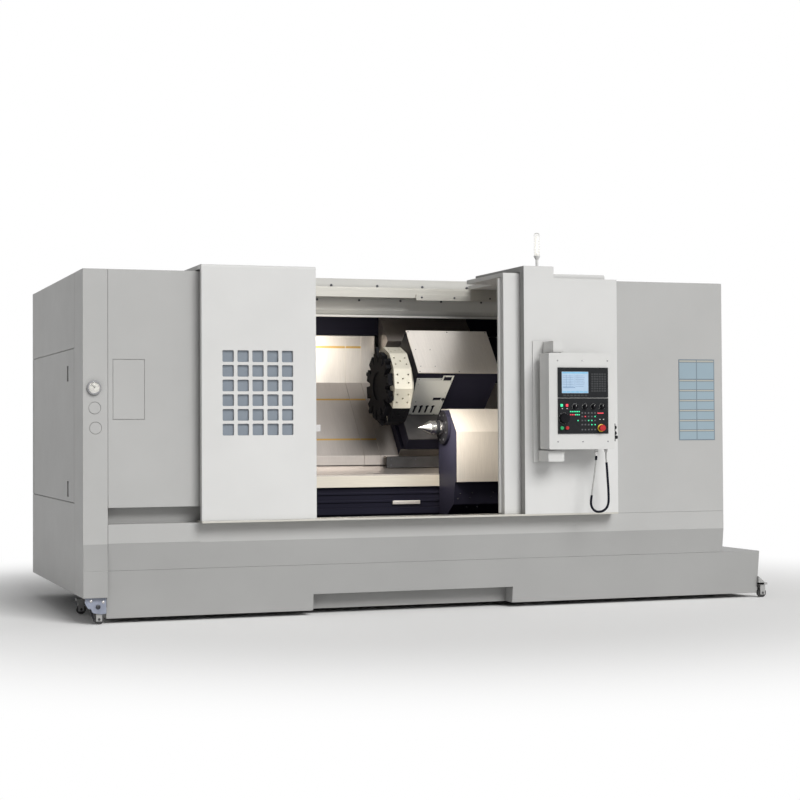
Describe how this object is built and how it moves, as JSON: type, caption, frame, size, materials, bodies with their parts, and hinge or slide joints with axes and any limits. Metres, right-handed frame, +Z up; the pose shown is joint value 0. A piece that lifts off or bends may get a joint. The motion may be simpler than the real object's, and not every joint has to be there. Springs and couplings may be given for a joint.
{
  "type": "cnc turning lathe",
  "caption": "Enclosed slant-bed turning lathe with sliding doors, tool turret, tailstock, swinging control pendant and roll-out coolant tank.",
  "frame": {"origin": "middle of the machine's footprint, on the floor", "axes": "+X right along the spindle as seen by the operator, +Y towards the back, +Z up"},
  "size_m": [4.588, 2.466, 2.406],
  "materials": {
    "light_paint": "satin",
    "grey_paint": "satin",
    "base_paint": "satin",
    "white_paint": "satin",
    "navy_paint": "satin",
    "slate_iron": "matte",
    "brushed_sheet": "brushed",
    "beam_metal": "satin",
    "rail_steel": "ground",
    "bright_steel": "polished",
    "dark_steel": "oiled",
    "gauge_metal": "polished",
    "lamp_clear": "clear",
    "window_glass": "smoky",
    "black_panel": "moulded",
    "red_plastic": "gloss",
    "green_plastic": "gloss",
    "cable_rubber": "matte",
    "wheel_rubber": "matte"
  },
  "bodies": {
    "machine": {"base_casting": "slate_iron", "slant_bed": "navy_paint", "bed_guard": "brushed_sheet", "guideways": "rail_steel", "chip_trough": "navy_paint", "front_skirt": "base_paint", "levelling_feet": "dark_steel", "left_cabinet": "grey_paint", "pressure_gauge": "gauge_metal", "right_cabinet": "grey_paint", "right_housing": "light_paint", "rear_cover": "grey_paint", "top_beam": "beam_metal", "door_rails": "rail_steel", "chamber_walls": "navy_paint", "headstock": "navy_paint", "spindle_motor": "dark_steel", "way_cover_fixed": "brushed_sheet", "lamp_post": "gauge_metal", "lamp_lens": "lamp_clear", "pendant_bracket": "white_paint"},
    "left_door": {"left_door": "light_paint", "door_window": "window_glass"},
    "right_door": {"right_door": "light_paint"},
    "spindle": {"spindle": "bright_steel", "chuck_body": "bright_steel"},
    "jaw_1": {"jaw_1": "dark_steel"},
    "jaw_2": {"jaw_2": "dark_steel"},
    "jaw_3": {"jaw_3": "dark_steel"},
    "carriage": {"saddle": "navy_paint", "way_cover_outer": "brushed_sheet", "way_cover_right": "navy_paint"},
    "cover_inner": {"way_cover_inner": "brushed_sheet"},
    "cover_middle": {"way_cover_middle": "brushed_sheet"},
    "cross_slide": {"cross_slide": "navy_paint", "turret_housing": "navy_paint", "turret_cover": "brushed_sheet", "service_plate": "white_paint"},
    "turret": {"turret_disc": "rail_steel", "tool_holders": "dark_steel"},
    "tailstock": {"tailstock_body": "navy_paint", "tailstock_cover": "brushed_sheet"},
    "quill": {"quill": "bright_steel"},
    "centre": {"live_centre": "bright_steel"},
    "pendant": {"pendant_box": "white_paint", "display_unit": "black_panel", "operator_plate": "black_panel", "pendant_cable": "cable_rubber"},
    "estop": {"estop": "red_plastic"},
    "handwheel": {"handwheel": "black_panel"},
    "cycle_start": {"cycle_start": "green_plastic"},
    "feed_hold": {"feed_hold": "red_plastic"},
    "knob_1": {"knob_1": "black_panel"},
    "knob_2": {"knob_2": "black_panel"},
    "knob_3": {"knob_3": "black_panel"},
    "knob_4": {"knob_4": "black_panel"},
    "side_door": {"side_door": "grey_paint"},
    "tank": {"coolant_tank": "base_paint"},
    "left_wheels": {"left_wheels": "wheel_rubber"},
    "right_wheels": {"right_wheels": "wheel_rubber"}
  },
  "joints": [
    {"name": "left_door_slide", "type": "slide", "parent": "machine", "child": "left_door", "axis": [1, 0, 0], "range_m": [0, 0.683]},
    {"name": "right_door_slide", "type": "slide", "parent": "machine", "child": "right_door", "axis": [-1, 0, 0], "range_m": [0, 0.573]},
    {"name": "spindle_spin", "type": "hinge", "parent": "machine", "child": "spindle", "pos_m": [-0.874, -0.177, 1.15], "axis": [1, 0, 0], "continuous": true},
    {"name": "jaw_1_slide", "type": "slide", "parent": "spindle", "child": "jaw_1", "axis": [0, -1, 0], "range_m": [-0.006, 0.004]},
    {"name": "jaw_2_slide", "type": "slide", "parent": "spindle", "child": "jaw_2", "axis": [0, 0.5, -0.866], "range_m": [-0.006, 0.004]},
    {"name": "jaw_3_slide", "type": "slide", "parent": "spindle", "child": "jaw_3", "axis": [0, 0.5, 0.866], "range_m": [-0.006, 0.004]},
    {"name": "carriage_slide", "type": "slide", "parent": "machine", "child": "carriage", "axis": [1, 0, 0], "range_m": [-0.4, 0.1]},
    {"name": "cover_inner_slide", "type": "slide", "parent": "machine", "child": "cover_inner", "axis": [1, 0, 0], "range_m": [-0.2, 0.05]},
    {"name": "cover_middle_slide", "type": "slide", "parent": "machine", "child": "cover_middle", "axis": [1, 0, 0], "range_m": [-0.3, 0.075]},
    {"name": "cross_feed", "type": "slide", "parent": "carriage", "child": "cross_slide", "axis": [0, 0.6428, 0.766], "range_m": [-0.06, 0.17]},
    {"name": "turret_index", "type": "hinge", "parent": "cross_slide", "child": "turret", "pos_m": [-0.116, 0.0589, 1.43114], "axis": [1, 0, 0], "continuous": true},
    {"name": "tailstock_slide", "type": "slide", "parent": "machine", "child": "tailstock", "axis": [1, 0, 0], "range_m": [0, 0.8]},
    {"name": "quill_slide", "type": "slide", "parent": "tailstock", "child": "quill", "axis": [-1, 0, 0], "range_m": [-0.04, 0.08]},
    {"name": "centre_spin", "type": "hinge", "parent": "quill", "child": "centre", "pos_m": [0.171, -0.177, 1.15], "axis": [1, 0, 0], "continuous": true},
    {"name": "pendant_swing", "type": "hinge", "parent": "machine", "child": "pendant", "pos_m": [0.639, -1.127, 1.31], "axis": [0, 0, -1], "range_deg": [0, 100]},
    {"name": "estop_press", "type": "slide", "parent": "pendant", "child": "estop", "axis": [0, 1, 0], "range_m": [0, 0.006], "stiffness_N_per_m": 2000},
    {"name": "handwheel_turn", "type": "hinge", "parent": "pendant", "child": "handwheel", "pos_m": [0.654, -1.203, 1.202], "axis": [0, 1, 0], "continuous": true},
    {"name": "cycle_start_press", "type": "slide", "parent": "pendant", "child": "cycle_start", "axis": [0, 1, 0], "range_m": [0, 0.004], "stiffness_N_per_m": 1500},
    {"name": "feed_hold_press", "type": "slide", "parent": "pendant", "child": "feed_hold", "axis": [0, 1, 0], "range_m": [0, 0.004], "stiffness_N_per_m": 1500},
    {"name": "knob_1_turn", "type": "hinge", "parent": "pendant", "child": "knob_1", "pos_m": [0.73, -1.203, 1.275], "axis": [0, 1, 0], "range_deg": [-135, 135]},
    {"name": "knob_2_turn", "type": "hinge", "parent": "pendant", "child": "knob_2", "pos_m": [0.799, -1.203, 1.275], "axis": [0, 1, 0], "range_deg": [-135, 135]},
    {"name": "knob_3_turn", "type": "hinge", "parent": "pendant", "child": "knob_3", "pos_m": [0.857, -1.203, 1.275], "axis": [0, 1, 0], "range_deg": [-135, 135]},
    {"name": "knob_4_turn", "type": "hinge", "parent": "pendant", "child": "knob_4", "pos_m": [0.916, -1.203, 1.275], "axis": [0, 1, 0], "range_deg": [-135, 135]},
    {"name": "side_door_swing", "type": "hinge", "parent": "machine", "child": "side_door", "pos_m": [-2.2815, 1.168, 1.17], "axis": [0, 0, -1], "range_deg": [0, 95]},
    {"name": "tank_roll", "type": "slide", "parent": "machine", "child": "tank", "axis": [1, 0, 0], "range_m": [0, 1.2]},
    {"name": "left_wheels_spin", "type": "hinge", "parent": "tank", "child": "left_wheels", "pos_m": [-2.194, -0.517, 0.03], "axis": [0, 1, 0], "continuous": true},
    {"name": "right_wheels_spin", "type": "hinge", "parent": "tank", "child": "right_wheels", "pos_m": [2.261, -0.517, 0.03], "axis": [0, 1, 0], "continuous": true}
  ],
  "couplings": [
    {"joint": "jaw_2_slide", "follows": "jaw_1_slide", "ratio": 1},
    {"joint": "jaw_3_slide", "follows": "jaw_1_slide", "ratio": 1},
    {"joint": "cover_inner_slide", "follows": "carriage_slide", "ratio": 0.5},
    {"joint": "cover_middle_slide", "follows": "carriage_slide", "ratio": 0.75}
  ]
}
